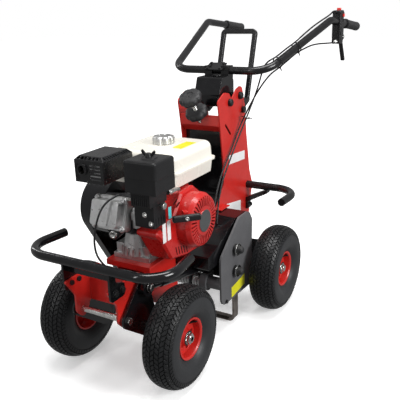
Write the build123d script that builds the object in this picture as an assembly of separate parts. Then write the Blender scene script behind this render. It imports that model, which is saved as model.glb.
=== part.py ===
from build123d import *
import math
import os

# A walk-behind turf cutter. Millimetres; x across the machine, +X towards the recoil starter's
# side, y rearwards from the front axle and z up from the ground.

# Wheels
WHEEL_R = 140
TYRE_W = 90
BEAD_R = 53.2
FRONT_X = 172
REAR_X = 229
REAR_Y = 508
AXLE_R = 10

# Chassis
CHASSIS_X = 70
SHEET = 4
PIVOT_Y, PIVOT_Z, PIVOT_R = -105, 216, 8
ARM_X = 78
ARM_T = 6
LINK_PIN_Y, LINK_PIN_Z = -33, 284
DECK_Z = 308
BUMPER_R = 12.5
BUMPER_FRONT_Y = -147
REAR_BUMPER_Y = 622
REAR_BUMPER_X = 260
REAR_BUMPER_Z = 375

# Engine
CRANK_Y, CRANK_Z = 155, 413
BORE_TILT = 17
RECOIL_R = 79
PLUG = (4, -30, 417)
PLUG_DIR = (0.25, -1, 0.05)
PLUG_R, PLUG_DEPTH = 7, 12.7
TANK_X = 110
TANK_SEAM_Z = 548
GUARD_X = -195
PULLEY_X = -183

# Cutter
ECC_Y, ECC_Z = 255, 174
ECC_OFFSET = 4
PLATE_X = 162
PLATE_T = 6
BLADE_Y, BLADE_W, BLADE_Z, BLADE_T = 345, 30, 8, 6
HOOD_X = 155
HOOD_LOW_Z = 172

# Mast and controls
MAST_X = 68
BAR_Y, BAR_Z, BAR_R = 562, 768, 12.5
GRIP_END_Y, GRIP_END_Z = 1250, 870
BAR_X = 250
LIFT_Y, LIFT_Z = 590, 640
KNOB_Y, KNOB_Z = 379, 704
LOCK_Y, LOCK_Z = 413, 656
KNOB_R = 36.5
KNOB_HALF = 12
BOX_Y, BOX_Z = 1021, 878
LEVER_Y, LEVER_Z = 1048, 842
CABLE_R = 2.5

# The saved frame has its origin on the ground at the middle of the machine's length.
MIDDLE_Y = (BUMPER_FRONT_Y - BUMPER_R + GRIP_END_Y) / 2

FIT = 0.05
os.makedirs("parts", exist_ok=True)


def save(name, *solids):
    """Writes one node, a group of separate solids when there are several."""
    moved = [Pos(0, -MIDDLE_Y, 0) * solid for solid in solids]
    bodies = [piece for shape in moved for piece in shape.solids()]
    export_step(Compound(children=bodies), f"parts/{name}.step")


def mirrored(shape):
    return mirror(shape, about=Plane.YZ)


def rounded(points, radii):
    """A flat outline in the (y, z) plane with a radius at each corner."""
    return make_face(FilletPolyline(*points, radius=radii, close=True))


def plate(outline, x0, x1):
    """The (y, z) outline extruded from x0 to x1."""
    return extrude(Plane.YZ.offset(min(x0, x1)) * outline, abs(x1 - x0))


def drum(y, z, r, x0, x1):
    """A cylinder along X."""
    return plate(Pos(y, z) * Circle(r), x0, x1)


def hexagon(y, z, r, x0, x1):
    return plate(Pos(y, z) * RegularPolygon(r, 6), x0, x1)


def hull(*circles):
    """The (y, z) outline drawn tightly round circles given as (y, z, r)."""
    edges = [(Pos(y, z) * Circle(r)).edge() for y, z, r in circles]
    return make_hull(edges)


def block(x0, x1, y0, y1, z0, z1):
    centre = Pos((x0 + x1) / 2, (y0 + y1) / 2, (z0 + z1) / 2)
    return centre * Box(abs(x1 - x0), abs(y1 - y0), abs(z1 - z0))


def soft_block(x0, x1, y0, y1, z0, z1, r):
    """A block with all its edges rounded."""
    body = block(x0, x1, y0, y1, z0, z1)
    return fillet(body.edges(), r)


def tube(points, radii, r):
    """A round bar swept along straight runs joined by tangent arcs."""
    path = FilletPolyline(*points, radius=radii)
    section = Plane(origin=path @ 0, z_dir=path % 0) * Circle(r)
    return sweep(section, path=path)


def cable(name, points, r):
    """A held cable with arcs as wide as its runs allow; prints the radii and the volume check."""
    radii = []
    for a, b, c in zip(points, points[1:], points[2:]):
        before = Vector(*b) - Vector(*a)
        after = Vector(*c) - Vector(*b)
        turn = math.radians(before.get_angle(after))
        radii.append(0.45 * min(before.length, after.length) / math.tan(turn / 2))
    path = FilletPolyline(*points, radius=radii)
    solid = tube(points, radii, r)
    ratio = solid.volume / (math.pi * r * r * path.length)
    print(name, "radii", [round(v) for v in radii])
    print(name, "length", round(path.length), "volume against section times length", round(ratio, 3))
    return solid


# ---------------------------------------------------------------- wheels
def tyre(x, y, z):
    half = TYRE_W / 2
    bead, wall = 28, 8
    outer = [(-bead, BEAD_R), (-bead, BEAD_R + 5), (-half, BEAD_R + 26), (-half, WHEEL_R), (half, WHEEL_R),
             (half, BEAD_R + 26), (bead, BEAD_R + 5), (bead, BEAD_R)]
    inner = [(wall - bead, BEAD_R - 5), (wall - half, BEAD_R + 30), (wall - half, WHEEL_R - wall),
             (half - wall, WHEEL_R - wall), (half - wall, BEAD_R + 30), (bead - wall, BEAD_R - 5)]
    skin = make_face(FilletPolyline(*outer, radius=[0.5, 3, 14, 38, 38, 14, 3, 0.5], close=True))
    air = make_face(FilletPolyline(*inner, radius=[0.5, 12, 30, 30, 12, 0.5], close=True))
    return Pos(x, y, z) * revolve(skin - air, Axis.X)


def rim(x, y, z, side):
    """A pressed rim: barrel, two flanges, a dished web and the hub tube; side is +1 or -1."""
    lip, out = 28.2, 31.5
    barrel = Polyline((-out, 57), (-lip, 57), (-lip, 53.1), (lip, 53.1), (lip, 57), (out, 57),
                      (out, 53), (lip, 50), (10, 47), (7, 30), (14, 24), (22, 20), (22, 8), (-30, 8),
                      (-30, 17), (6, 17), (3, 28), (6, 49.5), (-lip, 50.5), (-out, 53), (-out, 57))
    turned = revolve(make_face(barrel), Axis.X)
    slots = [Rot(X=angle) * Pos(8, 38, 0) * Rot(Y=90) * Cylinder(5, 30) for angle in range(0, 360, 72)]
    shape = turned - slots
    if side < 0:
        shape = mirrored(shape)
    bore = Rot(Y=90) * Cylinder(AXLE_R + FIT, 120)
    return Pos(x, y, z) * (shape - bore)


def front_axle():
    end = FRONT_X + 34
    bar = drum(0, WHEEL_R, AXLE_R, -end, end)
    nuts = [hexagon(0, WHEEL_R, 15, s * (FRONT_X + 22.5), s * (FRONT_X + 31)) for s in (1, -1)]
    collars = [drum(0, WHEEL_R, 15, s * (ARM_X + ARM_T + 0.1), s * (FRONT_X - 30.5)) for s in (1, -1)]
    return bar + nuts + collars


def rear_axle():
    end = REAR_X + 31
    bar = drum(REAR_Y, WHEEL_R, AXLE_R, -end, end)
    nuts = [hexagon(REAR_Y, WHEEL_R, 12, s * (REAR_X + 22.5), s * (REAR_X + 29)) for s in (1, -1)]
    tube_part = drum(REAR_Y, WHEEL_R, 17, -(REAR_X - 30.5), REAR_X - 30.5)
    return bar + nuts + tube_part


for side, hand in ((1, "left"), (-1, "right")):
    save(f"front_tyre_{hand}", tyre(side * FRONT_X, 0, WHEEL_R))
    save(f"front_rim_{hand}", rim(side * FRONT_X, 0, WHEEL_R, side))
    save(f"rear_tyre_{hand}", tyre(side * REAR_X, REAR_Y, WHEEL_R))
    save(f"rear_rim_{hand}", rim(side * REAR_X, REAR_Y, WHEEL_R, side))
save("front_axle", front_axle())
save("rear_axle", rear_axle())


# ---------------------------------------------------------------- chassis
def chassis_side():
    """One cheek: nose, leg down to the pivot lobe, and a lower tail behind the front wheel."""
    points = [(-163, 316), (-128, 266), (-129, PIVOT_Z), (-105, PIVOT_Z - 26), (-80, PIVOT_Z),
              (-78, 228), (20, 228), (34, 190), (153, 194), (153, 243), (60, 243), (10, 288), (-30, 318),
              (-150, 318)]
    radii = [4, 30, 20, 12, 20, 8, 20, 30, 4, 4, 40, 40, 20, 6]
    cheek = plate(rounded(points, radii), CHASSIS_X - SHEET - 2, CHASSIS_X)
    return cheek - drum(PIVOT_Y, PIVOT_Z, PIVOT_R, 0, 100)


def chassis_frame():
    inner = CHASSIS_X - SHEET - 2
    front = block(-inner, inner, -70, -66, 228, 314)
    top = block(-inner, inner, -66, 8, 280, 284)
    tail = block(-inner, inner, 148, 152, 196, 242)
    floor = block(-inner, inner, 60, 152, 239, 243)
    riser = block(-46, 46, 4, 8, 236, 284)
    spine = block(-46, 46, 6, 60, 236, 243)
    rails = [block(s * 40, s * 46, 26, 184, 240, 303.98) for s in (1, -1)]
    return chassis_side() + mirrored(chassis_side()) + [front, top, tail, floor, riser, spine] + rails


def engine_plate():
    """The red plate that carries the engine, with a folded front lip."""
    top = block(-75, 70, 22, 238, DECK_Z - SHEET, DECK_Z)
    lip = block(-75, 70, 18, 22, DECK_Z - 16, DECK_Z)
    return top + lip


def front_arm():
    """A black triangular plate from the pivot bar to the front axle, with the link's stud."""
    outline = hull((PIVOT_Y, PIVOT_Z, 22), (LINK_PIN_Y, LINK_PIN_Z, 24), (0, WHEEL_R, 26))
    body = plate(outline, ARM_X, ARM_X + ARM_T)
    body -= drum(PIVOT_Y, PIVOT_Z, PIVOT_R + FIT, 0, 120)
    body -= drum(0, WHEEL_R, AXLE_R + 0.02, 0, 120)
    return body


def link_stud():
    stud = drum(LINK_PIN_Y, LINK_PIN_Z, 8, ARM_X + ARM_T, ARM_X + 26)
    return stud + hexagon(LINK_PIN_Y, LINK_PIN_Z, 11, ARM_X + 25, ARM_X + 32)


def pivot_bar():
    head = ARM_X + ARM_T + 0.5
    bar = drum(PIVOT_Y, PIVOT_Z, PIVOT_R - 0.02, -head, head)
    heads = [hexagon(PIVOT_Y, PIVOT_Z, 9.5, s * (head - 0.1), s * (head + 5.5)) for s in (1, -1)]
    spacers = [drum(PIVOT_Y, PIVOT_Z, 13, s * (CHASSIS_X + 0.3), s * (ARM_X - 0.4)) for s in (1, -1)]
    return bar + heads + spacers


LINK_DIR = Vector(0, 0.974, -0.226)
LINK_EYE_R = 17
LINK_X = 97


def depth_link():
    """The rod from the left arm's stud back into the hood; its eye has room for the arm's swing."""
    start = Vector(LINK_X, LINK_PIN_Y, LINK_PIN_Z)
    rod_plane = Plane(origin=start + LINK_DIR * 22, z_dir=LINK_DIR)
    rod = extrude(rod_plane * Circle(10), 235)
    eye = drum(LINK_PIN_Y, LINK_PIN_Z, LINK_EYE_R + 8, LINK_X - 5, LINK_X + 5)
    sleeve = extrude(Plane(origin=start + LINK_DIR * 60, z_dir=LINK_DIR) * Circle(13), 90)
    return rod + eye + sleeve - drum(LINK_PIN_Y, LINK_PIN_Z, LINK_EYE_R, 80, 120)


def front_bumper():
    """The bent front tube, welded to two flat uprights that bolt to the chassis nose."""
    y, z = BUMPER_FRONT_Y, 370
    points = [(-206, 5, z), (-226, y, z), (226, y, z), (206, 5, z)]
    bar = tube(points, [75, 75], BUMPER_R)
    foot = rounded([(-158, 366), (-158, 288), (-100, 288), (-100, 322), (-134, 334), (-134, 366)],
                   [2, 10, 10, 8, 10, 2])
    upright = plate(foot, CHASSIS_X + 0.05, CHASSIS_X + SHEET + 2)
    tie = block(-CHASSIS_X - 1, CHASSIS_X + 1, -138, -134, 336, 362)
    return bar + upright + mirrored(upright) + tie


def rear_bumper():
    """The rear tube, open to the front, on two bent strips that bolt to the rear frame."""
    z = REAR_BUMPER_Z
    points = [(-REAR_BUMPER_X + 6, 486, z), (-REAR_BUMPER_X, REAR_BUMPER_Y, z),
              (REAR_BUMPER_X, REAR_BUMPER_Y, z), (REAR_BUMPER_X - 6, 486, z)]
    bar = tube(points, [72, 72], BUMPER_R)
    low, high, root, tip = 290, 366, MAST_X + SHEET + 0.1, 152
    bend = 330
    strip = Polyline((root, low), (root, bend), (tip - 4, high), (tip, high), (tip, high - 12),
                     (root + 8, bend - 14), (root + 8, low), (root, low))
    leg = extrude(Plane.XZ.offset(-REAR_BUMPER_Y - 12) * make_face(strip), 26)
    return bar + leg + mirrored(leg)


def drive_housing():
    """The black hood over the eccentric drive, open below, with lugs for the eccentric's sleeve."""
    low = HOOD_LOW_Z
    outer = rounded([(186, 284), (250, 300), (364, 349), (440, 349), (454, 325), (454, low), (302, low),
                     (302, 244), (186, 244)], [6, 20, 20, 16, 20, 3, 3, 6, 6])
    inner = rounded([(190, 280), (251, 296), (365, 345), (438, 345), (450, 323), (450, low - 14),
                     (306, low - 14), (306, 248), (190, 248)], [4, 18, 18, 14, 18, 2, 2, 4, 4])
    shell = plate(outer, -HOOD_X, HOOD_X) - plate(inner, -HOOD_X + 4, HOOD_X - 4)
    lug_face = hull((ECC_Y, ECC_Z, 26), (ECC_Y - 14, 242, 6), (ECC_Y + 14, 242, 6))
    lugs = [plate(lug_face, s * 60, s * 66) for s in (1, -1)]
    shell = shell + lugs - drum(ECC_Y, ECC_Z, 17, -80, 80)
    rod_start = Vector(LINK_X, LINK_PIN_Y, LINK_PIN_Z) + LINK_DIR * 190
    rod_hole = Plane(origin=rod_start, z_dir=LINK_DIR) * Circle(15)
    return shell - extrude(rod_hole, 50)


def rear_frame():
    """The black channel between the mast's feet, with the rear axle's bearing plates."""
    half = MAST_X - 0.1
    channel = block(-half, half, 454.3, 640, 262, 349) - block(-half + 4, half - 4, 458, 636, 250, 345)
    cheek = rounded([(454.3, 104), (454.3, 238), (490, 234), (556, 206), (556, 140), (530, 104)],
                    [3, 3, 20, 16, 24, 24])
    side = plate(cheek, 146, 152)
    bridge = block(-146, 146, 460, 466, 200, 262)
    frame = channel + side + mirrored(side) + bridge
    return frame - drum(REAR_Y, WHEEL_R, 17.02, -200, 200)


save("chassis_frame", chassis_frame())
save("engine_plate", engine_plate())
save("front_arms", front_arm(), mirrored(front_arm()), link_stud())
save("pivot_bar", pivot_bar())
save("depth_link", depth_link())
save("front_bumper", front_bumper())
save("rear_bumper", rear_bumper())
save("drive_housing", drive_housing())
save("rear_frame", rear_frame())


# ---------------------------------------------------------------- cutter
def blade_plate():
    points = [(238, 106), (238, 262), (362, 353), (432, 353), (456, 318), (448, 96)]
    return plate(rounded(points, [30, 26, 24, 30, 20, 6]), PLATE_X, PLATE_X + PLATE_T)


def blade_frame():
    """The two grey side plates, the tubes from them and the bearing cups round the eccentrics."""
    left = blade_plate()
    right = mirrored(blade_plate())
    for side in (1, -1):
        cup = drum(ECC_Y, ECC_Z, 27, side * 96, side * 118) - drum(ECC_Y, ECC_Z, 23, side * 90, side * 113)
        stem = drum(ECC_Y, ECC_Z, 19, side * 118, side * PLATE_X)
        if side > 0:
            left = left + cup + stem
        else:
            right = right + cup + stem - drum(ECC_Y, ECC_Z, 16, -220, -100)
    return left, right


def blade():
    """The U-shaped blade: a sharpened strip between two upright arms."""
    x = PLATE_X - FIT
    z = BLADE_Z
    corners = [(-x, 176), (-x, z), (x, z), (x, 176), (x - BLADE_T, 176), (x - BLADE_T, z + BLADE_T),
               (-x + BLADE_T, z + BLADE_T), (-x + BLADE_T, 176)]
    section = make_face(FilletPolyline(*corners, radius=[2, 18, 18, 2, 2, 12, 12, 2], close=True))
    strip = extrude(Plane.XZ.offset(-BLADE_Y - BLADE_W / 2) * section, BLADE_W)
    front = BLADE_Y - BLADE_W / 2
    edge = make_face(Polyline((front - 1, z + 1.2), (front - 1, z + BLADE_T + 1),
                              (front + 14, z + BLADE_T + 1), (front - 1, z + 1.2)))
    return strip - plate(edge, -x + 22, x - 22)


BUFFERS = ((330, 262), (328, 192))


def buffers():
    """The rubber bushes, steel washers and dome caps that carry the blade plates."""
    rubber, washers = [], []
    disc_r, washer_r, dome_r = 15, 19, 11.5
    out = PLATE_X + PLATE_T
    for y, z in BUFFERS:
        for side in (1, -1):
            rubber.append(drum(y, z, disc_r, side * (out + 0.02), side * (out + 10)))
            rubber.append(drum(y, z, disc_r - 1, side * (HOOD_X + 0.4), side * (PLATE_X - FIT - 0.02)))
            cap = drum(y, z, dome_r, side * (out + 13.1), side * (out + 29))
            rubber.append(fillet(cap.edges().sort_by(Axis.X)[-1 if side > 0 else 0], 8))
            washers.append(drum(y, z, washer_r, side * (out + 10.05), side * (out + 13)))
    return rubber, washers


def pulley(y, z, r):
    """A flat-bottomed pulley: a core between two flanges."""
    core = drum(y, z, r - 8, PULLEY_X - 7, PULLEY_X + 7)
    return core + [drum(y, z, r, PULLEY_X + x, PULLEY_X + x + 3) for x in (-8, 5)]


def eccentric_shaft():
    """The driven pulley and shaft, with an eccentric at each end cup."""
    shaft = drum(ECC_Y, ECC_Z, AXLE_R, GUARD_X + 4, 98)
    lobes = [drum(ECC_Y, ECC_Z + ECC_OFFSET, 15, s * 97, s * 110) for s in (1, -1)]
    return shaft + lobes + pulley(ECC_Y, ECC_Z, 42)


def eccentric_sleeve():
    """The ribbed sleeve that the eccentric shaft runs in."""
    core = drum(ECC_Y, ECC_Z, 17, -92, 92)
    places = (4, 14, 24, 34, 44, 70, 80)
    ribs = [drum(ECC_Y, ECC_Z, 22, s * x, s * (x + 4)) for s in (1, -1) for x in places]
    return core + ribs - drum(ECC_Y, ECC_Z, AXLE_R + FIT, -200, 200)


def drive_belt():
    big, small = 43, 39
    outer = hull((CRANK_Y, CRANK_Z, small), (ECC_Y, ECC_Z, big))
    inner = hull((CRANK_Y, CRANK_Z, small - 6), (ECC_Y, ECC_Z, big - 6))
    return plate(outer, PULLEY_X - 4.5, PULLEY_X + 4.5) - plate(inner, PULLEY_X - 10, PULLEY_X + 10)


blade_left, blade_right = blade_frame()
buffer_rubber, buffer_washers = buffers()
save("blade_plate_left", blade_left)
save("blade_plate_right", blade_right)
save("blade", blade())
save("buffer_bushes", *buffer_rubber)
save("buffer_washers", *buffer_washers)
save("eccentric_shaft", eccentric_shaft())
save("eccentric_sleeve", eccentric_sleeve())
save("drive_belt", drive_belt())


# ---------------------------------------------------------------- engine
def crankcase():
    """The block on its flanged sump, hollow for the crank, with bearings on the crank axis."""
    sump = block(-66, 54, 42, 238, DECK_Z + 0.02, DECK_Z + 14)
    lower = block(-60, 50, 50, 236, DECK_Z + 10, 350)
    upper = rounded([(96, 340), (236, 340), (236, 440), (200, 478), (112, 478), (96, 440)],
                    [4, 20, 30, 20, 20, 10])
    body = plate(upper, -60, 50) + sump + lower
    skirt = extrude(Pos(-5, 78, DECK_Z + 14) * Circle(46), 62, taper=12)
    ribs = [Pos(-5, 78, DECK_Z + 26) * Rot(Z=a) * Pos(44, 0, 0) * Box(8, 5, 24) for a in range(-140, -30, 22)]
    bosses = [drum(CRANK_Y, CRANK_Z, 34, 50, 56), drum(CRANK_Y, CRANK_Z, 34, -78, -60)]
    chamber = drum(CRANK_Y, CRANK_Z, 54, -46, 36)
    return body + skirt + ribs + bosses - chamber - drum(CRANK_Y, CRANK_Z, 12.5 + FIT, -90, 90)


def bore_plane(distance):
    """The plane square to the cylinder's axis, a distance forward of the crank."""
    tilt = math.radians(BORE_TILT)
    forward = Vector(0, -math.cos(tilt), math.sin(tilt))
    centre = Vector(-5, CRANK_Y, CRANK_Z) + forward * distance
    return Plane(origin=centre, x_dir=(1, 0, 0), z_dir=forward)


def cylinder():
    core = extrude(bore_plane(66) * RectangleRounded(76, 76, 8), 104)
    fins = [extrude(bore_plane(78 + 9 * i) * RectangleRounded(100, 96, 8), 2.4) for i in range(10)]
    body = core + fins
    bore = extrude(bore_plane(60) * Circle(29), 108)
    return body - bore - block(-200, 200, 50, 240, 300, 352)


def cylinder_head():
    base = extrude(bore_plane(170.1) * RectangleRounded(98, 88, 10), 22)
    cover = extrude(bore_plane(192) * RectangleRounded(90, 74, 12), 34, taper=6)
    flange = extrude(bore_plane(194) * RectangleRounded(100, 84, 10), 5)
    mouth = Plane(origin=Vector(*PLUG) + Vector(*PLUG_DIR).normalized() * 13, z_dir=PLUG_DIR)
    boss = extrude(mouth * Circle(PLUG_R + 5), -44) & extrude(bore_plane(170.2) * Rectangle(200, 200), 80)
    return base + cover + flange + boss - extrude(mouth * Circle(PLUG_R), -PLUG_DEPTH)


def crankshaft():
    """The crank with its webs and pin, the flywheel and fan, and the drive pulley."""
    shaft = drum(CRANK_Y, CRANK_Z, 12.5, GUARD_X + 4, 112) - drum(CRANK_Y, CRANK_Z, 20, -17, 7)
    pin = drum(CRANK_Y - 21, CRANK_Z + 6, 12, -20, 10)
    web = hull((CRANK_Y, CRANK_Z, 24), (CRANK_Y - 21, CRANK_Z + 6, 18), (CRANK_Y + 16, CRANK_Z - 5, 34))
    webs = [plate(web, x, x + 12) for x in (-29, 7)]
    wheel = drum(CRANK_Y, CRANK_Z, 62, 62, 80)
    vanes = [Pos(86, CRANK_Y, CRANK_Z) * Rot(X=30 * i) * Pos(0, 0, 47) * Box(14, 3, 24) for i in range(12)]
    return shaft + pin + webs + wheel + vanes + pulley(CRANK_Y, CRANK_Z, 38)


SHROUD = [(112, 500), (64, 437), (-21, 424), (6, 400), (50, 329), (128, 312), (208, 309), (240, 400),
          (226, 466), (176, 503)]
SHROUD_RADII = [12, 6, 8, 10, 10, 30, 20, 60, 40, 20]


def fan_shroud():
    outer = plate(rounded(SHROUD, SHROUD_RADII), 57.2, 122)
    outer = chamfer(outer.faces().sort_by(Axis.X)[-1].edges(), 6)
    inside = offset(rounded(SHROUD, SHROUD_RADII), -2.5)
    shell = outer - plate(inside, 50, 116)
    return shell - drum(CRANK_Y, CRANK_Z, RECOIL_R - 8, 100, 130)


def recoil_cover():
    """The round starter cover with radial cooling slots and a plain hub disc."""
    profile = Polyline((122.1, 79), (150, 77), (162, 70), (165, 62), (165, 32), (167, 31), (167, 0),
                       (160, 0), (160, 62), (158, 66), (147, 74), (122.1, 76), (122.1, 79))
    cover = Pos(0, CRANK_Y, CRANK_Z) * revolve(make_face(profile), Axis.X)
    count = 36
    slots = [Pos(160, CRANK_Y, CRANK_Z) * Rot(X=360 / count * i) * Pos(0, 0, 54) * Box(30, 4, 26)
             for i in range(count)]
    guide = Pos(146, 86, 452) * Rot(Z=-45) * Box(22, 12, 16)
    hollow = drum(CRANK_Y, CRANK_Z, 72, 122, 150)
    return cover - slots + (guide - hollow)


def recoil_handle():
    """The T handle, square to the direction in which its rope pulls."""
    grip = Rot(Z=45) * soft_block(-38, 38, -7, 7, -9, 9, 5)
    return Pos(166, 61, 452) * grip


def fuel_tank():
    """The tank: tapered lower pan, seam flange and domed top, hollow, with a filler hole."""
    y0, y1 = 100, 323
    middle = (y0 + y1) / 2
    depth = y1 - y0
    pan = extrude(Pos(0, middle, TANK_SEAM_Z) * RectangleRounded(2 * TANK_X, depth, 22), -40, taper=8)
    seam = extrude(Pos(0, middle, TANK_SEAM_Z - 3) * RectangleRounded(2 * TANK_X + 12, depth + 12, 24), 6)
    top = extrude(Pos(0, middle, TANK_SEAM_Z) * RectangleRounded(2 * TANK_X, depth, 26), 52, taper=4)
    top = fillet(top.faces().sort_by(Axis.Z)[-1].edges(), 20)
    space = block(-TANK_X + 16, TANK_X - 16, y0 + 16, y1 - 16, 514, TANK_SEAM_Z + 46)
    filler = Pos(0, 222, 600) * Cylinder(20, 40)
    return pan + seam + top - space - filler


def fuel_cap():
    knob = Pos(0, 222, 611.4) * Cylinder(32, 22)
    knob = fillet(knob.edges().sort_by(Axis.Z)[-1], 5)
    scallops = [Pos(0, 222, 611.4) * Rot(Z=45 * i) * Pos(38, 0, 0) * Cylinder(9, 40) for i in range(8)]
    stem = Pos(0, 222, 595) * Cylinder(19, 12)
    return knob - scallops + stem


def airbox():
    """The filter's box, the tray under it and the elbow that leads down beside the carburettor."""
    body = block(60, 150, -50, 38, 540, 578) - block(63, 147, -47, 35, 543, 590)
    tray = block(72, 128, -46, 30, 505, 541)
    elbow = block(69, 127, -30, 23, 446, 506)
    post = Pos(105, -6, 581) * Cylinder(4, 82)
    return body + tray + elbow + post


def airbox_cover():
    cover = block(58, 152, -52, 40, 578.1, 622)
    cover = fillet(cover.edges().filter_by(Axis.Z), 8)
    cover = fillet(cover.faces().sort_by(Axis.Z)[-1].edges(), 7)
    cover -= block(62, 148, -48, 36, 570, 617)
    return cover - Pos(105, -6, 610) * Cylinder(4.2, 40)


def carburettor():
    """The small cast carburettor between the cylinder and the elbow, with its round bowl."""
    throat = drum(0, 470, 13, 46, 68.9)
    bowl = Pos(57, -8, 446) * Cylinder(10.5, 26)
    return throat + bowl + block(48, 66, -18, 4, 455, 474)


def muffler():
    return soft_block(-80, -8, -44, 54, 560, 610, 12)


def muffler_guard():
    """The perforated heat guard: a thin box, open below, with a slotted chamfer round its top."""
    shell = block(-90, 2, -57, 67, 552, 620)
    shell = chamfer(shell.faces().sort_by(Axis.Z)[-1].edges(), 10)
    space = block(-88, 0, -55, 65, 540, 618)
    shell -= chamfer(space.faces().sort_by(Axis.Z)[-1].edges(), 10)
    shell -= [block(-42, -8, -60, -50, z, z + 4) for z in range(560, 602, 9)]
    shell -= [block(x, x + 2.5, -60, -50, 560, 602) for x in (-85, -79)]
    shell -= [Pos(x, -52, 615) * Rot(X=45) * Box(8.5, 8, 12) for x in range(-78, -14, 12)]
    shell -= [Pos(-3, y, 615) * Rot(Y=45) * Rot(Z=28) * Box(9, 4.5, 12) for y in range(-42, 60, 9)]
    outlet = Pos(-64, -59, 586) * Rot(X=90)
    return shell + outlet * Cylinder(15, 6) - outlet * Cylinder(11, 20)


def belt_guard():
    """The belt's cover: a deep round drum at the crank and a flat tail down to the driven pulley."""
    deep = drum(CRANK_Y - 5, CRANK_Z + 3, 86, GUARD_X, -115)
    tail = plate(hull((CRANK_Y - 5, CRANK_Z + 3, 86), (ECC_Y, ECC_Z, 49)), GUARD_X, -172)
    hollow = drum(CRANK_Y - 5, CRANK_Z + 3, 83, GUARD_X + 3, -118)
    hollow += plate(hull((CRANK_Y - 5, CRANK_Z + 3, 83), (ECC_Y, ECC_Z, 46)), GUARD_X + 3, -174)
    holes = drum(CRANK_Y, CRANK_Z, 20, -130, -100) + drum(ECC_Y, ECC_Z, 14, -176, -160)
    return deep + tail - hollow - holes


save("crankcase", crankcase())
save("cylinder", cylinder())
save("cylinder_head", cylinder_head())
save("crankshaft", crankshaft())
save("fan_shroud", fan_shroud())
save("recoil_cover", recoil_cover())
save("recoil_handle", recoil_handle())
save("fuel_tank", fuel_tank())
save("fuel_cap", fuel_cap())
save("airbox", airbox())
save("airbox_cover", airbox_cover())
save("carburettor", carburettor())
save("muffler", muffler())
save("muffler_guard", muffler_guard())
save("belt_guard", belt_guard())


# ---------------------------------------------------------------- mast
CLAMP_BOLTS = ((496, 677), (568, 689))


def mast_plate():
    """One cheek: a foot beside the channel, a waisted mast and two ears for the head's bolts."""
    points = [(391, 351), (450, 419), (446, 502), (433, 601), (419, 690), (463, 712), (494, 706),
              (512, 684), (545, 712), (584, 722), (606, 655), (619, 554), (642, 420), (664, 369),
              (633, 259), (456, 275), (456, 351)]
    radii = [2, 30, 60, 80, 12, 24, 14, 10, 14, 20, 20, 80, 40, 8, 12, 4, 1]
    body = plate(rounded(points, radii), MAST_X, MAST_X + SHEET)
    slot_start, slot_end = (467, 610), (500, 575)
    slot = plate(hull((*slot_start, 4), (*slot_end, 4)), 50, 90)
    pin_hole = drum(LIFT_Y, LIFT_Z, 6, 50, 90)
    flange = block(MAST_X + SHEET - 1, MAST_X + 22, 394, 452, 351, 354)
    bar_hole = drum(REAR_BUMPER_Y, REAR_BUMPER_Z, BUMPER_R + 0.02, 50, 90)
    return body + flange - slot - pin_hole - bar_hole


def mast_cross_plate():
    """The red plate folded between the cheeks, drilled for the depth screw."""
    points = [(428, 646), (428, 613), (449, 592), (452, 595), (432, 615), (432, 646)]
    body = plate(Polygon(*points, align=None), -MAST_X + 0.1, MAST_X - 0.1)
    return body - screw_bar(9)


def mast_panel():
    """The black panel behind, curved forward at its foot onto the hood."""
    points = [(462, 590), (462, 351), (396, 351), (396, 354), (459, 354), (459, 590)]
    outline = rounded(points, [1, 54, 1, 1, 51, 1])
    return plate(outline, -MAST_X + 0.1, MAST_X - 0.1)


SEATS, SEAT_W = (-42, 18), 26
SCREW_DIR = Vector(0, KNOB_Y - LOCK_Y, KNOB_Z - LOCK_Z).normalized()


def along_screw(distance):
    """The plane square to the depth screw, a distance up from the lock knob's middle."""
    return Plane(origin=Vector(0, LOCK_Y, LOCK_Z) + SCREW_DIR * distance, x_dir=(1, 0, 0), z_dir=SCREW_DIR)


def screw_bar(r):
    return extrude(along_screw(-52) * Circle(r), 128)


def hand_knob(distance):
    """A lobed hand knob centred a distance up the screw from the lock knob's place."""
    lobes, groove_r, bite = 8, 12, 2.5
    body = extrude(along_screw(distance - KNOB_HALF) * Circle(KNOB_R), 2 * KNOB_HALF)
    body = fillet(body.edges().filter_by(GeomType.CIRCLE), 5)
    for i in range(lobes):
        angle = 2 * math.pi * i / lobes
        reach = KNOB_R + groove_r - bite
        centre = Pos(math.cos(angle) * reach, math.sin(angle) * reach)
        body -= extrude(along_screw(distance - 2 * KNOB_HALF) * (centre * Circle(groove_r)), 4 * KNOB_HALF)
    return body


def clamp_base():
    """The black folded head between the mast's ears: closed front, two cheeks, seats and cross tubes."""
    outline = rounded([(478, 664), (478, 700), (498, 752), (550, 752), (578, 740), (578, 664)],
                      [4, 16, 8, 10, 10, 6])
    space = rounded([(482, 640), (482, 699), (501, 748), (548, 748), (574, 737), (574, 640)],
                    [2, 14, 6, 8, 8, 2])
    head = plate(outline, -44, 46) - plate(space, -40, 42)
    head -= block(-34, -12, 470, 500, 660, 680)
    seats = [block(x, x + SEAT_W, BAR_Y - 17, BAR_Y + 17, 742, BAR_Z - 0.3) for x in SEATS]
    tubes = [drum(y, z, 9, -MAST_X + 0.1, MAST_X - 0.1) for y, z in CLAMP_BOLTS]
    return head + seats + tubes - drum(BAR_Y, BAR_Z, BAR_R + FIT, -100, 100)


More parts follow.
